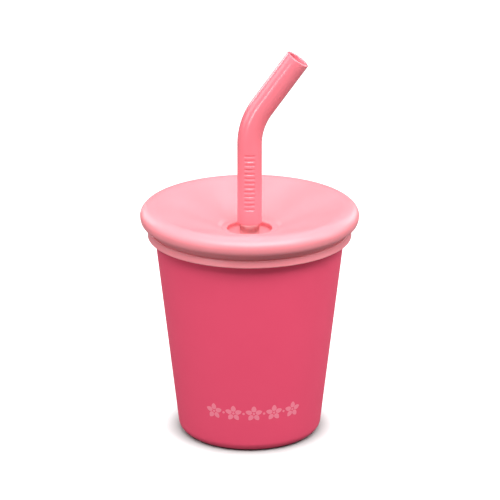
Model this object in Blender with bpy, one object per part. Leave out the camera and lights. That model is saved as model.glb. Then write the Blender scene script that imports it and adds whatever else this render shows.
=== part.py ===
"""Child's drinking tumbler: steel cup, silicone lid, steel straw and bent silicone mouthpiece.

Everything stands on the cup's axis, base ring on z = 0, mouthpiece leaning towards +X.
"""
import math

import bmesh
import bpy

MM = 0.001

# Clearances that keep neighbouring solids apart.
FIT_GAP = 0.3 * MM

# Cup: one drawn sheet of steel with a curled lip and a raised base panel.
CUP_BASE_RADIUS = 28.5 * MM
CUP_LIP_TOP = 90.2 * MM
CUP_TAPER = math.radians(6.5)
CUP_WALL = 0.7 * MM
CUP_CORNER_RADIUS = 4.2 * MM
CUP_PANEL_RADIUS = 20.6 * MM
CUP_PANEL_RISE = 1.2 * MM
CUP_LIP_CURL = 0.9 * MM

# Lid: a moulded silicone disc with a dished top, a fat rim and a gripping skirt.
LID_RADIUS = 43.7 * MM
LID_WIDEST_HEIGHT = 90.9 * MM
LID_CREST_WIDTH = 4.85 * MM
LID_CREST_HEIGHT = 3.8 * MM
LID_UNDER_WIDTH = 1.2 * MM
LID_UNDER_HEIGHT = 2.85 * MM
LID_DISH_SLOPE = math.radians(18.3)
LID_CREST_BLEND = 9.0 * MM
LID_THICKNESS = 2.5 * MM
WELL_RADIUS = 9.1 * MM
WELL_TOP = 85.4 * MM
WELL_LIP_RADIUS = 0.7 * MM
WELL_FLOOR_RADIUS = 7.6 * MM
WELL_FLOOR_HEIGHT = 83.8 * MM
WELL_BOTTOM = 82.9 * MM
COLLAR_RADIUS = 7.0 * MM
COLLAR_BOTTOM = 77.8 * MM
COLLAR_CHAMFER = 0.6 * MM
GROOVE_RADIUS = 40.0 * MM
GROOVE_FILLET = 0.7 * MM
BEAD_RADIUS = 40.75 * MM
BEAD_TOP = 85.2 * MM
BEAD_BOTTOM = 82.2 * MM
BEAD_ROUND = 0.5 * MM

# Straw: a straight steel tube.
TUBE_RADIUS = 4.0 * MM
TUBE_BORE_RADIUS = 3.5 * MM
TUBE_BOTTOM = 8.5 * MM
TUBE_TOP = 115.5 * MM
TUBE_EDGE = 0.15 * MM

# Mouthpiece: a silicone tube pushed over the straw, bent towards +X.
TIP_RADIUS = 4.9 * MM
TIP_BORE_RADIUS = 3.6 * MM
TIP_BOTTOM = 87.7 * MM
TIP_BEND_START = 120.2 * MM
TIP_BEND_RADIUS = 26.0 * MM
TIP_BEND_ANGLE = math.radians(35.6)
TIP_MOUTH_LENGTH = 24.4 * MM
TIP_LIP = 0.45 * MM

TURN_STEPS = 48
STRAW_STEPS = 24

PINK_PAINT = (0.70, 0.075, 0.15, 1.0)
PINK_SILICONE = (0.93, 0.38, 0.44, 1.0)
PINK_TIP = (0.93, 0.28, 0.36, 1.0)
STEEL = (0.62, 0.58, 0.56, 1.0)


def clear_scene():
    for item in list(bpy.data.objects):
        bpy.data.objects.remove(item, do_unlink=True)


def make_material(name, color, roughness, metallic):
    material = bpy.data.materials.new(name)
    material.use_nodes = True
    shader = material.node_tree.nodes["Principled BSDF"]
    shader.inputs["Base Color"].default_value = color
    shader.inputs["Roughness"].default_value = roughness
    shader.inputs["Metallic"].default_value = metallic
    return material


def arc(center, radii, start, end, steps):
    """Points (r, z) along an elliptical arc, angles in degrees from +r towards +z."""
    points = []
    for step in range(steps + 1):
        angle = math.radians(start + (end - start) * step / steps)
        r = center[0] + radii[0] * math.cos(angle)
        z = center[1] + radii[1] * math.sin(angle)
        points.append((r, z))
    return points


def finish_object(name, mesh_data, material, sharp_angle=35.0):
    """Merge seams, point the faces out, shade smooth and link the object."""
    bmesh.ops.remove_doubles(mesh_data, verts=mesh_data.verts, dist=0.001 * MM)
    bmesh.ops.recalc_face_normals(mesh_data, faces=mesh_data.faces)
    mesh = bpy.data.meshes.new(name)
    mesh_data.to_mesh(mesh)
    mesh_data.free()
    mesh.shade_smooth()
    mesh.set_sharp_from_angle(angle=math.radians(sharp_angle))
    mesh.materials.append(material)
    item = bpy.data.objects.new(name, mesh)
    bpy.context.collection.objects.link(item)
    return item


def turn(name, profile, closed, steps, material):
    """Spin an (r, z) profile about the Z axis; an open profile starts and ends on the axis."""
    mesh_data = bmesh.new()
    verts = [mesh_data.verts.new((r, 0.0, z)) for r, z in profile]
    edges = [mesh_data.edges.new(pair) for pair in zip(verts, verts[1:])]
    if closed:
        edges.append(mesh_data.edges.new((verts[-1], verts[0])))
    bmesh.ops.spin(
        mesh_data,
        geom=verts + edges,
        cent=(0.0, 0.0, 0.0),
        axis=(0.0, 0.0, 1.0),
        angle=math.tau,
        steps=steps,
        use_merge=True,
    )
    return finish_object(name, mesh_data, material)


def cup_wall_radius(height):
    return CUP_BASE_RADIUS + height * math.tan(CUP_TAPER)


def make_cup(material):
    taper = math.degrees(CUP_TAPER)
    corner = (
        cup_wall_radius(CUP_CORNER_RADIUS) - CUP_CORNER_RADIUS / math.cos(CUP_TAPER),
        CUP_CORNER_RADIUS,
    )
    inner_corner_radius = CUP_CORNER_RADIUS - CUP_WALL
    curl_height = CUP_LIP_TOP - CUP_LIP_CURL
    curl = (cup_wall_radius(curl_height) - 0.6 * CUP_LIP_CURL, curl_height)
    curl_radii = (CUP_LIP_CURL, CUP_LIP_CURL)

    profile = [(0.0, CUP_PANEL_RISE), (CUP_PANEL_RADIUS, CUP_PANEL_RISE)]
    profile.append((CUP_PANEL_RADIUS + CUP_PANEL_RISE, 0.0))
    profile += arc(corner, (CUP_CORNER_RADIUS, CUP_CORNER_RADIUS), -90, -taper, 5)
    profile += arc(curl, curl_radii, -58, 245, 9)
    profile += arc(corner, (inner_corner_radius, inner_corner_radius), -taper, -90, 4)
    profile.append((CUP_PANEL_RADIUS + CUP_PANEL_RISE, CUP_WALL))
    profile.append((CUP_PANEL_RADIUS, CUP_PANEL_RISE + CUP_WALL))
    profile.append((0.0, CUP_PANEL_RISE + CUP_WALL))
    return turn("cup_body", profile, False, TURN_STEPS, material)


def lid_top_profile():
    """From the straw hole's edge, across the well and the dish, to the rim's widest ring."""
    slope = math.degrees(LID_DISH_SLOPE)
    bore = TUBE_RADIUS + FIT_GAP
    lip_center = (WELL_RADIUS + WELL_LIP_RADIUS, WELL_TOP - WELL_LIP_RADIUS)
    crest = (LID_RADIUS - LID_CREST_WIDTH, LID_WIDEST_HEIGHT + LID_CREST_HEIGHT)
    blend_center = (crest[0], crest[1] - LID_CREST_BLEND)

    points = [(bore, WELL_BOTTOM), (WELL_FLOOR_RADIUS, WELL_FLOOR_HEIGHT)]
    points += arc(lip_center, (WELL_LIP_RADIUS, WELL_LIP_RADIUS), 170, 90 + slope, 3)
    points += arc(blend_center, (LID_CREST_BLEND, LID_CREST_BLEND), 90 + slope, 90, 3)[:-1]
    points += arc((crest[0], LID_WIDEST_HEIGHT), (LID_CREST_WIDTH, LID_CREST_HEIGHT), 90, 0, 7)
    return points


def lid_side_profile():
    """From the rim's widest ring, round under it, down the groove and the bead to the skirt."""
    under_center = (LID_RADIUS - LID_UNDER_WIDTH, LID_WIDEST_HEIGHT)
    under_height = LID_WIDEST_HEIGHT - LID_UNDER_HEIGHT
    fillet_center = (GROOVE_RADIUS + GROOVE_FILLET, under_height - GROOVE_FILLET)
    bead_top = (BEAD_RADIUS - BEAD_ROUND, BEAD_TOP - BEAD_ROUND)
    bead_bottom = (BEAD_RADIUS - BEAD_ROUND, BEAD_BOTTOM + BEAD_ROUND)
    bead_round = (BEAD_ROUND, BEAD_ROUND)

    points = arc(under_center, (LID_UNDER_WIDTH, LID_UNDER_HEIGHT), 0, -90, 5)[1:]
    points += arc(fillet_center, (GROOVE_FILLET, GROOVE_FILLET), 90, 180, 2)
    points.append((GROOVE_RADIUS, BEAD_TOP))
    points += arc(bead_top, bead_round, 90, 0, 2)
    points += arc(bead_bottom, bead_round, 0, -90, 2)
    return points


def lid_inner_profile():
    """From the skirt's lower edge, up round the cup's lip, under the dish and down the collar."""
    curl_outside = cup_wall_radius(CUP_LIP_TOP - CUP_LIP_CURL) + 0.4 * CUP_LIP_CURL
    curl_inside = curl_outside - 2.0 * CUP_LIP_CURL
    skirt_bore = curl_outside + FIT_GAP
    ceiling = CUP_LIP_TOP + FIT_GAP
    seat_inside = curl_inside - 4.0 * FIT_GAP
    run_in = WELL_RADIUS + LID_THICKNESS
    ceiling_low = WELL_TOP - LID_THICKNESS
    slope_start = run_in + (ceiling - ceiling_low) / math.tan(LID_DISH_SLOPE)
    bore = TUBE_RADIUS + FIT_GAP

    points = [(skirt_bore, BEAD_BOTTOM), (skirt_bore, ceiling)]
    points.append((min(slope_start, seat_inside), ceiling))
    points.append((run_in, ceiling_low))
    points.append((COLLAR_RADIUS + COLLAR_CHAMFER, WELL_BOTTOM - COLLAR_CHAMFER * 2.0))
    points.append((COLLAR_RADIUS, WELL_BOTTOM - COLLAR_CHAMFER * 4.0))
    points.append((COLLAR_RADIUS, COLLAR_BOTTOM + COLLAR_CHAMFER))
    points.append((COLLAR_RADIUS - COLLAR_CHAMFER, COLLAR_BOTTOM))
    points.append((bore + COLLAR_CHAMFER, COLLAR_BOTTOM))
    points.append((bore, COLLAR_BOTTOM + COLLAR_CHAMFER))
    return points


def make_lid(material):
    profile = lid_top_profile() + lid_side_profile() + lid_inner_profile()
    return turn("lid", profile, True, TURN_STEPS, material)


def make_tube(material):
    profile = [
        (TUBE_BORE_RADIUS + TUBE_EDGE, TUBE_BOTTOM),
        (TUBE_RADIUS - TUBE_EDGE, TUBE_BOTTOM),
        (TUBE_RADIUS, TUBE_BOTTOM + TUBE_EDGE),
        (TUBE_RADIUS, TUBE_TOP - TUBE_EDGE),
        (TUBE_RADIUS - TUBE_EDGE, TUBE_TOP),
        (TUBE_BORE_RADIUS + TUBE_EDGE, TUBE_TOP),
        (TUBE_BORE_RADIUS, TUBE_TOP - TUBE_EDGE),
        (TUBE_BORE_RADIUS, TUBE_BOTTOM + TUBE_EDGE),
    ]
    return turn("straw_tube", profile, True, STRAW_STEPS, material)


def tip_frame(distance):
    """Centre (x, z) and lean of the mouthpiece at a distance along it from its lower end."""
    straight = TIP_BEND_START - TIP_BOTTOM
    bend = TIP_BEND_RADIUS * TIP_BEND_ANGLE
    if distance <= straight:
        return (0.0, TIP_BOTTOM + distance), 0.0
    lean = min((distance - straight) / TIP_BEND_RADIUS, TIP_BEND_ANGLE)
    past = max(distance - straight - bend, 0.0)
    x = TIP_BEND_RADIUS * (1.0 - math.cos(lean)) + past * math.sin(lean)
    z = TIP_BEND_START + TIP_BEND_RADIUS * math.sin(lean) + past * math.cos(lean)
    return (x, z), lean


def tip_stations():
    """(distance, radius) rings: up the outside, round the mouth and down the bore."""
    straight = TIP_BEND_START - TIP_BOTTOM
    bend = TIP_BEND_RADIUS * TIP_BEND_ANGLE
    length = straight + bend + TIP_MOUTH_LENGTH
    sleeve_radius = TUBE_RADIUS + FIT_GAP
    sleeve_end = TUBE_TOP + FIT_GAP - TIP_BOTTOM
    bend_steps = 6
    bend_rings = [straight + bend * step / bend_steps for step in range(bend_steps + 1)]
    edge = 0.2 * MM

    outside = [(0.0, TIP_RADIUS - edge), (edge, TIP_RADIUS)]
    outside += [(distance, TIP_RADIUS) for distance in bend_rings]
    outside.append((length - TIP_LIP, TIP_RADIUS))
    outside.append((length, TIP_RADIUS - TIP_LIP))
    inside = [(length, TIP_BORE_RADIUS + TIP_LIP), (length - TIP_LIP, TIP_BORE_RADIUS)]
    inside += [(distance, TIP_BORE_RADIUS) for distance in reversed(bend_rings)]
    inside += [(sleeve_end, TIP_BORE_RADIUS), (sleeve_end, sleeve_radius), (0.0, sleeve_radius)]
    return outside + inside


def make_tip(material):
    mesh_data = bmesh.new()
    rings = []
    for distance, radius in tip_stations():
        (x, z), lean = tip_frame(distance)
        ring = []
        for step in range(STRAW_STEPS):
            angle = math.tau * step / STRAW_STEPS
            across = radius * math.cos(angle)
            point = (x + across * math.cos(lean), radius * math.sin(angle), z - across * math.sin(lean))
            ring.append(mesh_data.verts.new(point))
        rings.append(ring)
    for ring, next_ring in zip(rings, rings[1:] + rings[:1]):
        for step in range(STRAW_STEPS):
            after = (step + 1) % STRAW_STEPS
            mesh_data.faces.new((ring[step], ring[after], next_ring[after], next_ring[step]))
    return finish_object("straw_tip", mesh_data, material)


def build():
    clear_scene()
    make_cup(make_material("cup_paint", PINK_PAINT, 0.5, 0.0))
    make_lid(make_material("lid_silicone", PINK_SILICONE, 0.5, 0.0))
    make_tube(make_material("straw_steel", STEEL, 0.2, 1.0))
    make_tip(make_material("tip_silicone", PINK_TIP, 0.45, 0.0))


build()
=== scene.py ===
from math import atan2, cos, degrees, hypot, pi, radians, sin, tan, tau

import bmesh
import bpy
from mathutils import Matrix, Vector


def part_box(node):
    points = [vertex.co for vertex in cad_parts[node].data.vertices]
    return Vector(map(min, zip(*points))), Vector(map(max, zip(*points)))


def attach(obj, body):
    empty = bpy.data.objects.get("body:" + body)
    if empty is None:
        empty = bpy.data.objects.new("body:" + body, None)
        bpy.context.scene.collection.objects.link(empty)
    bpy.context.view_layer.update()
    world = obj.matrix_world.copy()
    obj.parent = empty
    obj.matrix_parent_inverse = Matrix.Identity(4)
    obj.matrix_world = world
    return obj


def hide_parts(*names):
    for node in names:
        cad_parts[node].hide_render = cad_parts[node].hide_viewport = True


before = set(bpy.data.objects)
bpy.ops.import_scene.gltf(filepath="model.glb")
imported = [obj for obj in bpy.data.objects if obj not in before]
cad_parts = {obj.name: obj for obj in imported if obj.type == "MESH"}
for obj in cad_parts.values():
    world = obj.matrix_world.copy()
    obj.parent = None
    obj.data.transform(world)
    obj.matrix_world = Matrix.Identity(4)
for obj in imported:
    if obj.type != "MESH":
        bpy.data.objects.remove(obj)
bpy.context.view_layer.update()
mm = 0.001

# what a user would change first
camera = {
    "place": (0.00016, -1.1325, 0.4719),
    "lookDown": 19.28,  # degrees below the horizon
    "lens": 215.6,
    "sensor": 36.0,
    "clipStart": 0.01,
}

studio = {
    "aim": (0.0, 0.0, 0.08),  # every softbox points here
    "floorRadius": 0.6,
    "floorSides": 128,
    "floorRoughness": 0.9,
    "floorBounce": 0.2,  # tone for the light that the floor throws back
    "floorTone": 0.42,  # tone that the camera sees
    "paintedFloorGlow": 0.85,  # painted light: white glow added for the camera outside a ring round the foot, hiding the floor's real shadow there
    # the painted glow fades in between these radii, so the darker ring round the foot is partly painted
    # shade and partly real contact shadow
    "glowStart": 28.0 * mm,
    "glowFull": 38.0 * mm,
    "ambient": 0.0,
    "backdrop": 1.2,
}

# name: place, width and depth, watts
softboxes = {
    "frontBox": ((0.0, -0.66, 0.80), (0.36, 0.26), 3.6),
    "topBox": ((0.0, -0.36, 0.88), (0.40, 0.30), 2.9),
    "frontRightBox": ((0.42, -0.42, 0.80), (0.35, 0.35), 4.8),
    "frontLeftBox": ((-0.42, -0.42, 0.80), (0.35, 0.35), 3.3),
    "lowLeftBox": ((-0.75, -0.85, 0.22), (0.16, 0.26), 1.8),
    "highRightBox": ((0.45, 0.0, 0.75), (0.30, 0.50), 1.5),
    "highLeftBox": ((-0.45, 0.0, 0.75), (0.30, 0.50), 1.2),
    "sideRightBox": ((0.90, 0.0, 0.40), (0.50, 0.50), 3.0),
    "sideLeftBox": ((-0.90, 0.0, 0.40), (0.50, 0.50), 1.6),
    "backBox": ((0.0, 0.45, 0.80), (0.50, 0.30), 1.3),
    "rearRightBox": ((0.60, 0.80, 0.45), (0.45, 0.45), 2.6),
    "rearLeftBox": ((-0.60, 0.80, 0.45), (0.45, 0.45), 2.6),
}

print("stage: frame loaded")


def arcPoints(center, radii, start, end, steps):
    # (r, z) points on an ellipse, angles in degrees
    points = []
    for step in range(steps + 1):
        angle = radians(start + (end - start) * step / steps)
        points.append((center[0] + radii[0] * cos(angle), center[1] + radii[1] * sin(angle)))
    return points


def roundPoints(center, radius, start, end, steps):
    return arcPoints(center, (radius, radius), start, end, steps)


def linePoints(first, last, parts):
    # the points that cut a straight line into equal parts, its ends left out
    return [(first[0] + (last[0] - first[0]) * part / parts, first[1] + (last[1] - first[1]) * part / parts)
            for part in range(1, parts)]


def finishPiece(name, work, materials, sharp=40.0):
    mesh = bpy.data.meshes.new(name)
    work.to_mesh(mesh)
    work.free()
    mesh.shade_smooth()
    mesh.set_sharp_from_angle(angle=radians(sharp))
    for material in materials:
        mesh.materials.append(material)
    piece = bpy.data.objects.new(name, mesh)
    bpy.context.scene.collection.objects.link(piece)
    return piece


def turnOutline(outline, steps, closed):
    # spin an (r, z) outline once round the cup's axis
    work = bmesh.new()
    verts = [work.verts.new((r, 0.0, z)) for r, z in outline]
    edges = [work.edges.new(pair) for pair in zip(verts, verts[1:])]
    if closed:
        edges.append(work.edges.new((verts[-1], verts[0])))
    bmesh.ops.spin(work, geom=verts + edges, cent=(0, 0, 0), axis=(0, 0, 1),
                   angle=tau, steps=steps, use_merge=True)
    bmesh.ops.remove_doubles(work, verts=work.verts, dist=0.002 * mm)
    bmesh.ops.recalc_face_normals(work, faces=work.faces)
    return work


def newMaterial(name):
    material = bpy.data.materials.new(name)
    material.use_nodes = True
    tree = material.node_tree
    return material, tree, tree.nodes["Principled BSDF"]


def objectPoints(tree, scale=(1, 1, 1)):
    where = tree.nodes.new("ShaderNodeTexCoord")
    mapping = tree.nodes.new("ShaderNodeMapping")
    mapping.inputs["Scale"].default_value = scale
    tree.links.new(where.outputs["Object"], mapping.inputs["Vector"])
    return mapping.outputs["Vector"]


def noiseAt(tree, vector, scale, detail=3.0, rough=0.5):
    noise = tree.nodes.new("ShaderNodeTexNoise")
    noise.inputs["Scale"].default_value = scale
    noise.inputs["Detail"].default_value = detail
    noise.inputs["Roughness"].default_value = rough
    tree.links.new(vector, noise.inputs["Vector"])
    return noise.outputs["Fac"]


def ranged(tree, value, low, high, fromLow=0.3, fromHigh=0.7):
    remap = tree.nodes.new("ShaderNodeMapRange")
    remap.inputs["From Min"].default_value = fromLow
    remap.inputs["From Max"].default_value = fromHigh
    remap.inputs["To Min"].default_value = low
    remap.inputs["To Max"].default_value = high
    tree.links.new(value, remap.inputs["Value"])
    return remap.outputs["Result"]


def blendColors(tree, factor, first, second):
    mix = tree.nodes.new("ShaderNodeMix")
    mix.data_type = "RGBA"
    mix.inputs["A"].default_value = first
    mix.inputs["B"].default_value = second
    tree.links.new(factor, mix.inputs["Factor"])
    return mix.outputs["Result"]


def bumpFrom(tree, height, distance, strength=1.0, below=None):
    bump = tree.nodes.new("ShaderNodeBump")
    bump.inputs["Distance"].default_value = distance
    bump.inputs["Strength"].default_value = strength
    tree.links.new(height, bump.inputs["Height"])
    if below is not None:
        tree.links.new(below, bump.inputs["Normal"])
    return bump.outputs["Normal"]


# noise scales are per metre
paint = {
    "color": (0.85, 0.080, 0.164, 1.0),
    "colorWorn": (0.87, 0.088, 0.174, 1.0),
    "roughness": (0.50, 0.60),
    "specular": 0.2,
    "mottle": 60.0,
    "grain": 1500.0,
    "grainDepth": 0.012 * mm,
    "peel": 450.0,
    "peelDepth": 0.018 * mm,
}


def makePaint(name, look):
    # fine powder coat: soft mottling and a tight orange-peel grain
    material, tree, shader = newMaterial(name)
    points = objectPoints(tree)
    mottle = noiseAt(tree, points, look["mottle"], detail=4.0)
    grain = noiseAt(tree, points, look["grain"], detail=2.0, rough=0.6)
    peel = noiseAt(tree, points, look["peel"], detail=2.0)
    color = blendColors(tree, mottle, look["color"], look["colorWorn"])
    tree.links.new(color, shader.inputs["Base Color"])
    tree.links.new(ranged(tree, grain, *look["roughness"]), shader.inputs["Roughness"])
    low = bumpFrom(tree, peel, look["peelDepth"], strength=0.6)
    fine = bumpFrom(tree, grain, look["grainDepth"], strength=0.8, below=low)
    tree.links.new(fine, shader.inputs["Normal"])
    shader.inputs["Specular IOR Level"].default_value = look["specular"]
    return material


lidRubber = {
    "color": (0.86, 0.256, 0.296, 1.0),
    "colorShade": (0.88, 0.270, 0.310, 1.0),
    "roughness": (0.38, 0.46),
    "specular": 0.65,
    "subsurface": 0.15,
}

tipRubber = {
    "color": (0.80, 0.182, 0.226, 1.0),
    "colorShade": (0.82, 0.192, 0.237, 1.0),
    "roughness": (0.20, 0.26),
    "specular": 0.75,
    "subsurface": 0.0,
}

# what the two silicones share
silicone = {
    "cloud": 45.0,
    "skin": 900.0,
    "skinDepth": 0.006 * mm,
    "scatter": (1.0, 0.25, 0.2),
    "scatterScale": 2.5 * mm,
}


def makeRubber(name, look):
    # moulded silicone: even colour, satin skin, a trace of haze
    material, tree, shader = newMaterial(name)
    points = objectPoints(tree)
    cloud = noiseAt(tree, points, silicone["cloud"])
    skin = noiseAt(tree, points, silicone["skin"], detail=2.0)
    color = blendColors(tree, cloud, look["color"], look["colorShade"])
    tree.links.new(color, shader.inputs["Base Color"])
    tree.links.new(ranged(tree, cloud, *look["roughness"]), shader.inputs["Roughness"])
    tree.links.new(bumpFrom(tree, skin, silicone["skinDepth"], strength=0.5), shader.inputs["Normal"])
    shader.inputs["Specular IOR Level"].default_value = look["specular"]
    shader.inputs["Subsurface Weight"].default_value = look["subsurface"]
    shader.inputs["Subsurface Radius"].default_value = silicone["scatter"]
    shader.inputs["Subsurface Scale"].default_value = silicone["scatterScale"]
    return material


# stretch sets the way that the drawn lines run: round the cup, along the straw
bareSteel = {
    "color": (0.78, 0.76, 0.74, 1.0),
    "roughness": (0.28, 0.36),
    "stretch": (40.0, 40.0, 5000.0),
    "lineDepth": 0.004 * mm,
    "smudge": 70.0,
}

strawSteel = {
    "color": (0.66, 0.63, 0.61, 1.0),
    "roughness": (0.14, 0.20),
    "stretch": (3000.0, 3000.0, 30.0),
    "lineDepth": 0.004 * mm,
    "smudge": 70.0,
    "anisotropy": 0.9,
    "anisotropyTurn": 0.25,
}


def makeSteel(name, look):
    material, tree, shader = newMaterial(name)
    lines = noiseAt(tree, objectPoints(tree, look["stretch"]), 1.0, detail=4.0, rough=0.65)
    smudge = noiseAt(tree, objectPoints(tree), look["smudge"])
    shader.inputs["Base Color"].default_value = look["color"]
    shader.inputs["Metallic"].default_value = 1.0
    if "anisotropy" in look:
        shader.inputs["Anisotropic"].default_value = look["anisotropy"]
        shader.inputs["Anisotropic Rotation"].default_value = look["anisotropyTurn"]
        around = tree.nodes.new("ShaderNodeTangent")
        around.direction_type = "RADIAL"
        around.axis = "Z"
        tree.links.new(around.outputs["Tangent"], shader.inputs["Tangent"])
    tree.links.new(ranged(tree, smudge, *look["roughness"]), shader.inputs["Roughness"])
    tree.links.new(bumpFrom(tree, lines, look["lineDepth"], strength=0.5), shader.inputs["Normal"])
    return material


printInk = {
    "color": (0.95, 0.24, 0.33, 1.0),
    "roughness": (0.38, 0.48),
    "speck": 1200.0,
    "speckDepth": 0.006 * mm,
}


def makeInk(name, look):
    material, tree, shader = newMaterial(name)
    speck = noiseAt(tree, objectPoints(tree), look["speck"], detail=2.0)
    shader.inputs["Base Color"].default_value = look["color"]
    tree.links.new(ranged(tree, speck, *look["roughness"]), shader.inputs["Roughness"])
    tree.links.new(bumpFrom(tree, speck, look["speckDepth"], strength=0.4), shader.inputs["Normal"])
    return material


pinkPaint = makePaint("pinkPaint", paint)
lidSilicone = makeRubber("lidSilicone", lidRubber)
tipSilicone = makeRubber("tipSilicone", tipRubber)
cupSteel = makeSteel("cupSteel", bareSteel)
tubeSteel = makeSteel("tubeSteel", strawSteel)
lightInk = makeInk("lightInk", printInk)
print("stage: materials")


# drawn steel cup: rolled lip, rounded foot, raised panel in the base
cup = {
    "baseRadius": 28.5 * mm,
    "taper": radians(6.5),
    "wall": 0.7 * mm,
    "wallRows": 24,
    "corner": 4.2 * mm,
    "panelRadius": 20.6 * mm,
    "panelRise": 1.2 * mm,
    "panelRound": 0.6 * mm,
    "footRound": 0.5 * mm,
    "curl": 0.9 * mm,  # radius of the rolled lip
    "curlInset": 0.6,  # its middle from the wall's line, in its own radii
    "curlNeck": 0.8 * mm,  # from its middle down to the straight wall
    "paintEnd": 86.9 * mm,
    "paintWidth": 6.0 * mm,  # how far the paint runs in under the foot
    "panelEdge": 0.8,  # where the bare panel starts, in panel rises
    "steps": 192,
}
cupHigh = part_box("cup_body")[1]


def wallRadius(height):
    return cup["baseRadius"] + height * tan(cup["taper"])


def cupOutline():
    # from the middle of the base, up the outside, over the lip and down the inside
    taper = degrees(cup["taper"])
    wall, rise, step = cup["wall"], cup["panelRise"], cup["panelRadius"]
    panelRound, footRound = cup["panelRound"], cup["footRound"]
    cornerPlace = (wallRadius(cup["corner"]) - cup["corner"] / cos(cup["taper"]), cup["corner"])
    curlHeight = cupHigh.z - cup["curl"]
    curlPlace = (wallRadius(curlHeight) - cup["curlInset"] * cup["curl"], curlHeight)
    neckHeight = curlHeight - cup["curlNeck"]
    outline = [(0.0, rise)]
    outline += roundPoints((step - panelRound, rise - panelRound), panelRound, 90, 45, 4)
    outline += roundPoints((step + rise + footRound, footRound), footRound, 225, 270, 4)
    outline += roundPoints(cornerPlace, cup["corner"], -90, -taper, 20)
    outline += linePoints(outline[-1], (wallRadius(neckHeight), neckHeight), cup["wallRows"])
    outline += roundPoints(curlPlace, cup["curl"], -58, 245, 28)
    outline += roundPoints(cornerPlace, cup["corner"] - wall, -taper, -90, 14)
    outline += [(step + rise, wall), (step, rise + wall), (0.0, rise + wall)]
    return outline


def paintOutside(work):
    # paint on the outside up to the lid's skirt, bare steel everywhere else
    bareRadius = cup["panelRadius"] + cup["panelEdge"] * cup["panelRise"]
    for face in work.faces:
        center = face.calc_center_median()
        outward = face.normal.dot(Vector((center.x, center.y, 0)))
        ring = hypot(center.x, center.y)
        reached = center.z < cup["paintEnd"] and ring > bareRadius
        nearWall = ring > wallRadius(center.z) - cup["paintWidth"]
        inside = outward < 0 or face.normal.z > 0.5
        outside = outward > 0 or face.normal.z < -0.5
        face.material_index = 0 if reached and nearWall and outside and not inside else 1


def makeCup():
    work = turnOutline(cupOutline(), cup["steps"], False)
    paintOutside(work)
    return finishPiece("cupShell", work, [pinkPaint, cupSteel])


cupShell = makeCup()
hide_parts("cup_body")
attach(cupShell, "cup")
print("stage: cup")


# one silicone moulding: fat rim, dished top, well for the straw, gripping bead and skirt
lid = {
    "widest": 90.9 * mm,
    "crestWidth": 4.85 * mm,
    "crestHeight": 3.8 * mm,
    "crestBlend": 9.0 * mm,
    "underWidth": 1.2 * mm,
    "underHeight": 2.85 * mm,
    "dishSlope": 18.3,  # degrees
    "dishSwell": 0.55 * mm,
    "dishRows": 24,
    "lipFlat": 1.5 * mm,  # flat ring round the straw hole
    "lipRise": 0.04 * mm,
    "lipCrown": 0.05 * mm,
    "lipStep": 0.9 * mm,  # from the ring up to the foot of the dish
    "lipStepRun": 1.4 * mm,
    "lipStepBend": ((0.5 * mm, 0.16 * mm), (0.95 * mm, 0.5 * mm)),
    "thickness": 2.5 * mm,
    "wellRadius": 8.95 * mm,
    "wellTop": 85.4 * mm,
    "wellLip": 0.55 * mm,
    "wellBottom": 82.7 * mm,
    "undercut": 0.5 * mm,
    "floorHeight": 83.0 * mm,
    "floorFillet": 0.35 * mm,
    "collarRadius": 7.0 * mm,
    "collarFillet": 1.6 * mm,
    "collarDrop": 2.6 * mm,
    "collarRound": 0.6 * mm,
    "grooveRadius": 39.5 * mm,
    "grooveFillet": 0.7 * mm,
    "beadRadius": 40.75 * mm,
    "beadTop": 85.2 * mm,
    "beadRound": 0.5 * mm,
    "beadTilt": 0.6 * mm,  # the bead's face leans back towards its top
    "bandFoot": 82.2 * mm,
    "skirtFlare": 0.4 * mm,
    "steps": 224,
}

# the room under the rim that takes the cup's lip; depth is in curl radii
seat = {
    "gap": 0.05 * mm,
    "round": 0.5 * mm,
    "depth": 2.2,
    "topInset": 0.2 * mm,  # insets run inwards from the curl's inner side
    "shoulderInset": 0.9 * mm,
    "shoulderEnd": 1.6 * mm,
    "ceilingInset": 2.4 * mm,
    "shoulderDrop": 0.9 * mm,
    "ceilingDrop": 0.5 * mm,
    "runRows": 6,
}

lidLow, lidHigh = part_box("lid")
tubeLow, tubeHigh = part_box("straw_tube")
lidRadius = lidHigh.x
tubeRadius = tubeHigh.x
snug = 0.03 * mm


def lidTopOutline():
    # from the straw hole's edge, across the well and the dish, to the rim's widest ring
    slope, fillet, wellLip = lid["dishSlope"], lid["floorFillet"], lid["wellLip"]
    lip = (lid["wellRadius"] + wellLip, lid["wellTop"] - wellLip)
    crest = (lidRadius - lid["crestWidth"], lid["widest"] + lid["crestHeight"])
    floorCorner = (lid["wellRadius"] + lid["undercut"] - fillet, lid["floorHeight"] + fillet)
    points = [(tubeRadius + snug, lid["wellBottom"])]
    points += roundPoints(floorCorner, fillet, -80, 10, 6)
    points += roundPoints(lip, wellLip, 195, 90, 12)
    flat = (lip[0] + lid["lipFlat"], lid["wellTop"] + lid["lipRise"])
    points += [(lip[0] + lid["lipFlat"] * 0.5, lid["wellTop"] + lid["lipCrown"]), flat]
    points += [(flat[0] + across, flat[1] + up) for across, up in lid["lipStepBend"]]
    blend = (crest[0], crest[1] - lid["crestBlend"])
    blendArc = roundPoints(blend, lid["crestBlend"], 90 + slope, 90, 10)
    start = (flat[0] + lid["lipStepRun"], flat[1] + lid["lipStep"])
    for r, z in [start] + linePoints(start, blendArc[0], lid["dishRows"]):
        along = (r - start[0]) / (blendArc[0][0] - start[0])
        points.append((r, z + 4 * lid["dishSwell"] * along * (1 - along)))
    points += blendArc[:-1]
    points += arcPoints((crest[0], lid["widest"]), (lid["crestWidth"], lid["crestHeight"]), 90, 0, 24)
    return points


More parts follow.
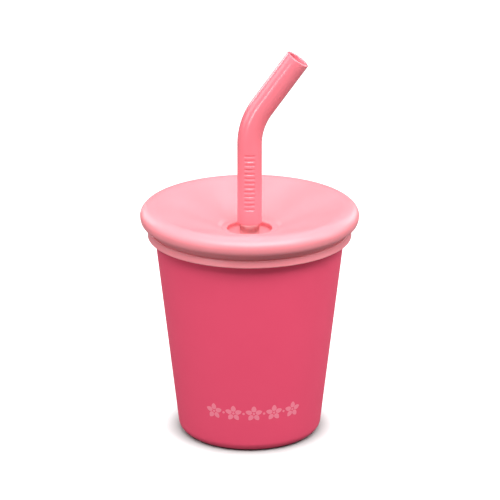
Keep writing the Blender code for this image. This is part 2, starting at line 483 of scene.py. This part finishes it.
def lidSideOutline():
    # under the rim, down the groove and round the bead
    fillet, beadRound = lid["grooveFillet"], lid["beadRound"]
    under = (lidRadius - lid["underWidth"], lid["widest"])
    underside = lid["widest"] - lid["underHeight"]
    edge = lid["beadRadius"] - beadRound
    points = arcPoints(under, (lid["underWidth"], lid["underHeight"]), 0, -90, 16)[1:]
    points += roundPoints((lid["grooveRadius"] + fillet, underside - fillet), fillet, 90, 180, 8)
    points += [(lid["grooveRadius"], lid["beadTop"])]
    points += roundPoints((edge - lid["beadTilt"], lid["beadTop"] - beadRound), beadRound, 90, 0, 8)
    points += roundPoints((edge, lid["bandFoot"] + beadRound), beadRound, 0, -90, 8)
    return points


def lidInnerOutline():
    # up the skirt, round the seat for the cup's lip, under the dish and down the collar
    foot, flare, gap = lid["bandFoot"], lid["skirtFlare"], seat["gap"]
    curlOut = wallRadius(cupHigh.z - cup["curl"]) + (1 - cup["curlInset"]) * cup["curl"]
    curlIn = curlOut - 2 * cup["curl"]
    seatTop = cupHigh.z + gap
    ledge = cupHigh.z - seat["depth"] * cup["curl"]
    points = [(wallRadius(foot) + flare, foot), (wallRadius(foot + flare) + gap, foot + flare)]
    points += [(wallRadius(ledge) + gap, ledge)]
    seatCorner = (curlOut - seat["round"] + gap, cupHigh.z - seat["round"])
    points += roundPoints(seatCorner, seat["round"], -30, 90, 6)
    shoulder = seatTop - seat["shoulderDrop"]
    points += [(curlIn - seat["topInset"], seatTop), (curlIn - seat["shoulderInset"], shoulder)]
    points += [(curlIn - seat["shoulderEnd"], shoulder)]
    run = (lid["wellRadius"] + lid["thickness"], lid["wellTop"] - lid["thickness"])
    ceilingRadius = curlIn - seat["ceilingInset"]
    underDish = run[1] + (ceilingRadius - run[0]) * tan(radians(lid["dishSlope"]))
    ceiling = (ceilingRadius, min(underDish, seatTop - seat["ceilingDrop"]))
    points += [ceiling] + linePoints(ceiling, run, seat["runRows"]) + [run]
    collar, fillet, rounding = lid["collarRadius"], lid["collarFillet"], lid["collarRound"]
    bore, low = tubeRadius + snug, lidLow.z + rounding
    points += roundPoints((collar + fillet, lid["wellBottom"] - lid["collarDrop"]), fillet, 80, 180, 8)
    points += roundPoints((collar - rounding, low), rounding, 0, -90, 5)
    points += roundPoints((bore + rounding, low), rounding, -90, -180, 5)
    return points


def makeLid():
    outline = lidTopOutline() + lidSideOutline() + lidInnerOutline()
    work = turnOutline(outline, lid["steps"], True)
    return finishPiece("lidMoulding", work, [lidSilicone])


lidMoulding = makeLid()
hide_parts("lid")
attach(lidMoulding, "lid")
print("stage: lid")


# straight steel straw, open at both ends
tube = {"bore": 3.5 * mm, "edge": 0.2 * mm, "steps": 96}


def makeTube():
    bore, edge = tube["bore"], tube["edge"]
    low, high = tubeLow.z + edge, tubeHigh.z - edge
    outline = roundPoints((tubeRadius - edge, low), edge, -90, 0, 5)
    outline += roundPoints((tubeRadius - edge, high), edge, 0, 90, 5)
    outline += roundPoints((bore + edge, high), edge, 90, 180, 5)
    outline += roundPoints((bore + edge, low), edge, 180, 270, 5)
    work = turnOutline(outline, tube["steps"], True)
    return finishPiece("steelStraw", work, [tubeSteel])


steelStraw = makeTube()
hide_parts("straw_tube")
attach(steelStraw, "straw")
print("stage: straw")


# bent silicone mouthpiece, pushed over the straw's top end
tip = {
    "radius": 4.9 * mm,
    "bore": 3.6 * mm,
    "bendStart": 120.2 * mm,
    "bendRadius": 26.0 * mm,
    "bendAngle": radians(35.6),
    "bendRings": 24,
    "mouthLength": 24.4 * mm,
    "mouthRings": 8,
    "lip": 0.45 * mm,
    "lipRings": 12,
    "foot": 0.3 * mm,
    "footRings": 4,
    "sleeveGap": 0.1 * mm,
    "ringStep": 0.2 * mm,
    "steps": 96,
}

# short soft-edged bars pressed into its front
grip = {
    "count": 13,
    "low": 94.2 * mm,
    "pitch": 1.85 * mm,
    "halfHeight": 0.42 * mm,
    "halfWidth": 2.1 * mm,
    "depth": 0.24 * mm,
    "soft": 0.22 * mm,
    "skin": 0.05 * mm,  # only verts this near the outside move
}
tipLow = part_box("straw_tip")[0]
tipStraight = tip["bendStart"] - tipLow.z
tipBend = tip["bendRadius"] * tip["bendAngle"]


def tipPlace(along):
    # centre and lean of the mouthpiece at a distance from its lower end
    lean = min(max(along - tipStraight, 0.0) / tip["bendRadius"], tip["bendAngle"])
    past = max(along - tipStraight - tipBend, 0.0)
    x = tip["bendRadius"] * (1 - cos(lean)) + past * sin(lean)
    z = tipLow.z + min(along, tipStraight) + tip["bendRadius"] * sin(lean) + past * cos(lean)
    return Matrix.Translation((x, 0, z)) @ Matrix.Rotation(lean, 4, "Y")


def tipRings():
    # (distance, radius) of each ring: up the outside, over the lip and down the bore
    radius, bore, lip, foot = tip["radius"], tip["bore"], tip["lip"], tip["foot"]
    mouthStart = tipStraight + tipBend
    mouthEnd = mouthStart + tip["mouthLength"] - lip
    rings = []
    for number in range(tip["footRings"], 0, -1):
        angle = number * pi / 2 / tip["footRings"]
        rings.append((foot - foot * sin(angle), radius - foot + foot * cos(angle)))
    count = int((tipStraight - foot) / tip["ringStep"])
    rings += [(foot + (tipStraight - foot) * n / count, radius) for n in range(count)]
    bendPlaces = [tipStraight + tipBend * n / tip["bendRings"] for n in range(tip["bendRings"])]
    mouthStep = (mouthEnd - mouthStart) / tip["mouthRings"]
    mouthPlaces = [mouthStart + mouthStep * n for n in range(tip["mouthRings"] + 1)]
    rings += [(place, radius) for place in bendPlaces + mouthPlaces]
    middle, half = (radius + bore) / 2, (radius - bore) / 2
    for number in range(1, tip["lipRings"]):
        angle = number * pi / tip["lipRings"]
        rings.append((mouthEnd + lip * sin(angle), middle + half * cos(angle)))
    rings += [(place, bore) for place in reversed(bendPlaces + mouthPlaces)]
    sleeveTop = tubeHigh.z + tip["sleeveGap"] - tipLow.z
    sleeve = tubeRadius + snug
    rings += [(sleeveTop, bore), (sleeveTop, sleeve), (foot, sleeve), (0.0, sleeve + foot)]
    return rings


def pressGrip(work):
    low, pitch, halfHeight = grip["low"], grip["pitch"], grip["halfHeight"]
    top = low + pitch * grip["count"]
    for vert in work.verts:
        x, y, z = vert.co
        reach = hypot(x, y)
        if y > 0 or z > top or z < low - pitch or reach < tip["radius"] - grip["skin"]:
            continue
        nearest = min(max(round((z - low) / pitch), 0), grip["count"] - 1)
        up = abs(z - low - nearest * pitch)
        side = abs(atan2(x, -y)) * tip["radius"]
        outside = hypot(max(side - grip["halfWidth"] + halfHeight, 0.0), up) - halfHeight
        amount = min(max(-outside / grip["soft"] + 0.5, 0.0), 1.0)
        amount = amount * amount * (3 - 2 * amount)
        scale = 1 - grip["depth"] * amount / reach
        vert.co.x *= scale
        vert.co.y *= scale


def makeTip():
    # a circle pulled along the bend, ring after ring, and closed on itself
    work = bmesh.new()
    first = bmesh.ops.create_circle(work, cap_ends=False, radius=1.0, segments=tip["steps"])
    order = list(first["verts"])
    shape = [vert.co.copy() for vert in order]
    firstEdges = list(dict.fromkeys(edge for vert in order for edge in vert.link_edges))
    edges = firstEdges
    for index, (along, radius) in enumerate(tipRings()):
        if index:
            grown = bmesh.ops.extrude_edge_only(work, edges=edges)["geom"]
            newVerts = [item for item in grown if isinstance(item, bmesh.types.BMVert)]
            edges = [item for item in grown if isinstance(item, bmesh.types.BMEdge)]
            # pair each new vert with the one that it grew from
            partner = {}
            for vert in newVerts:
                for edge in vert.link_edges:
                    other = edge.other_vert(vert)
                    if other not in newVerts and other in order:
                        partner[other] = vert
            order = [partner[vert] for vert in order]
        place = tipPlace(along)
        for vert, flat in zip(order, shape):
            vert.co = place @ (flat * radius)
    bmesh.ops.bridge_loops(work, edges=edges + firstEdges)
    pressGrip(work)
    bmesh.ops.recalc_face_normals(work, faces=work.faces)
    return finishPiece("mouthpiece", work, [tipSilicone])


mouthpiece = makeTip()
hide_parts("straw_tip")
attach(mouthpiece, "mouthpiece")
print("stage: mouthpiece")


# blossom band printed low on the cup's front
blossomBand = {
    "height": 17.3 * mm,
    "turn": radians(3.2),
    "blossoms": 5,
    "pitch": 8.2 * mm,
    "petals": 5,
    "petalLength": 2.7 * mm,
    "petalWidth": 2.0 * mm,
    "petalGap": 0.75 * mm,
    "petalGrid": (8, 14),
    "petalBulge": (0.8, 0.6),  # powers that set where and how roundly a petal is widest
    "petalEnd": 0.04,  # width left at a petal's ends, as a share
    "dot": 0.5 * mm,
    "dotSides": 20,
    "film": 0.03 * mm,
    "proud": 0.015 * mm,
}


def addPetal(work, x, angle):
    # a small grid drawn into a rounded petal, laid out from the blossom's middle
    columns, rows = blossomBand["petalGrid"]
    skew, fullness = blossomBand["petalBulge"]
    grid = bmesh.ops.create_grid(work, x_segments=columns, y_segments=rows, size=0.5)["verts"]
    for vert in grid:
        along = vert.co.y + 0.5
        share = max(sin(pi * along ** skew) ** fullness, blossomBand["petalEnd"])
        vert.co.x *= blossomBand["petalWidth"] * share
        vert.co.y = blossomBand["petalGap"] + along * blossomBand["petalLength"]
    bmesh.ops.rotate(work, verts=grid, cent=(0, 0, 0), matrix=Matrix.Rotation(angle, 3, "Z"))
    bmesh.ops.translate(work, verts=grid, vec=(x, 0, 0))


def addDot(work, x):
    sides = blossomBand["dotSides"]
    rim = bmesh.ops.create_circle(work, cap_ends=True, radius=blossomBand["dot"], segments=sides)["verts"]
    bmesh.ops.translate(work, verts=rim, vec=(x, 0, 0))


def wrapOnCup(work):
    # x runs round the wall from the front, y runs up it
    for vert in work.verts:
        height = blossomBand["height"] + vert.co.y * cos(cup["taper"])
        turn = blossomBand["turn"] + vert.co.x / wallRadius(blossomBand["height"])
        reach = wallRadius(height) + blossomBand["proud"] + vert.co.z
        vert.co = Vector((reach * sin(turn), -reach * cos(turn), height))


def makeBlossomBand():
    work = bmesh.new()
    count = blossomBand["blossoms"]
    for number in range(count):
        x = (number - (count - 1) / 2) * blossomBand["pitch"]
        for petal in range(blossomBand["petals"]):
            addPetal(work, x, tau * petal / blossomBand["petals"])
        addDot(work, x)
        if number < count - 1:
            addDot(work, x + blossomBand["pitch"] / 2)
    bmesh.ops.recalc_face_normals(work, faces=work.faces)
    bmesh.ops.solidify(work, geom=work.faces[:], thickness=blossomBand["film"])
    wrapOnCup(work)
    bmesh.ops.recalc_face_normals(work, faces=work.faces)
    return finishPiece("blossomPrint", work, [lightInk])


blossomPrint = makeBlossomBand()
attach(blossomPrint, "cup")
print("stage: blossom print")


def makeFloor():
    # looks white through a painted glow added for the camera beyond a thin ring round the foot; that ring is
    # partly real contact shadow and partly painted shade where the glow fades out; throws little light back
    # up
    work = bmesh.new()
    bmesh.ops.create_circle(work, cap_ends=True, radius=studio["floorRadius"], segments=studio["floorSides"])
    material, tree, shader = newMaterial("paleFloor")
    seen = tree.nodes.new("ShaderNodeLightPath").outputs["Is Camera Ray"]
    tone = ranged(tree, seen, studio["floorBounce"], studio["floorTone"], 0.0, 1.0)
    glow = ranged(tree, seen, 0.0, studio["paintedFloorGlow"], 0.0, 1.0)
    distance = tree.nodes.new("ShaderNodeVectorMath")
    distance.operation = "LENGTH"
    tree.links.new(objectPoints(tree), distance.inputs[0])
    # painted light: the glow rises from glowStart to glowFull and stays full beyond, hiding the floor's real
    # shadow there
    paintedGlowSpread = ranged(tree, distance.outputs["Value"], 0.0, 1.0, studio["glowStart"], studio["glowFull"])
    lift = tree.nodes.new("ShaderNodeMath")
    lift.operation = "MULTIPLY"
    tree.links.new(glow, lift.inputs[0])
    tree.links.new(paintedGlowSpread, lift.inputs[1])
    tree.links.new(tone, shader.inputs["Base Color"])
    tree.links.new(lift.outputs[0], shader.inputs["Emission Strength"])
    shader.inputs["Emission Color"].default_value = (1.0, 1.0, 1.0, 1.0)
    shader.inputs["Roughness"].default_value = studio["floorRoughness"]
    shader.inputs["Specular IOR Level"].default_value = 0.0
    floor = finishPiece("floor", work, [material])


def addSoftbox(name):
    place, size, watts = softboxes[name]
    light = bpy.data.lights.new(name, "AREA")
    light.shape = "RECTANGLE"
    light.size, light.size_y = size
    light.energy = watts
    box = bpy.data.objects.new(name, light)
    bpy.context.scene.collection.objects.link(box)
    box.location = place
    box.rotation_euler = (Vector(studio["aim"]) - Vector(place)).to_track_quat("-Z", "Y").to_euler()


def makeWorld():
    # a bright backdrop for the camera that adds no light to the softboxes'
    world = bpy.data.worlds.new("studio")
    bpy.context.scene.world = world
    world.use_nodes = True
    tree = world.node_tree
    seen = tree.nodes.new("ShaderNodeLightPath").outputs["Is Camera Ray"]
    strength = ranged(tree, seen, studio["ambient"], studio["backdrop"], 0.0, 1.0)
    tree.links.new(strength, tree.nodes["Background"].inputs["Strength"])
    tree.nodes["Background"].inputs["Color"].default_value = (1.0, 1.0, 1.0, 1.0)


def makeCamera():
    lens = bpy.data.cameras.new("studioCamera")
    lens.lens = camera["lens"]
    lens.sensor_width = camera["sensor"]
    lens.clip_start = camera["clipStart"]
    view = bpy.data.objects.new("studioCamera", lens)
    bpy.context.scene.collection.objects.link(view)
    view.location = camera["place"]
    view.rotation_euler = (radians(90 - camera["lookDown"]), 0, 0)
    bpy.context.scene.camera = view


makeFloor()
makeWorld()
for boxName in softboxes:
    addSoftbox(boxName)
makeCamera()
bpy.context.scene.view_settings.view_transform = "Standard"
print("stage: studio")
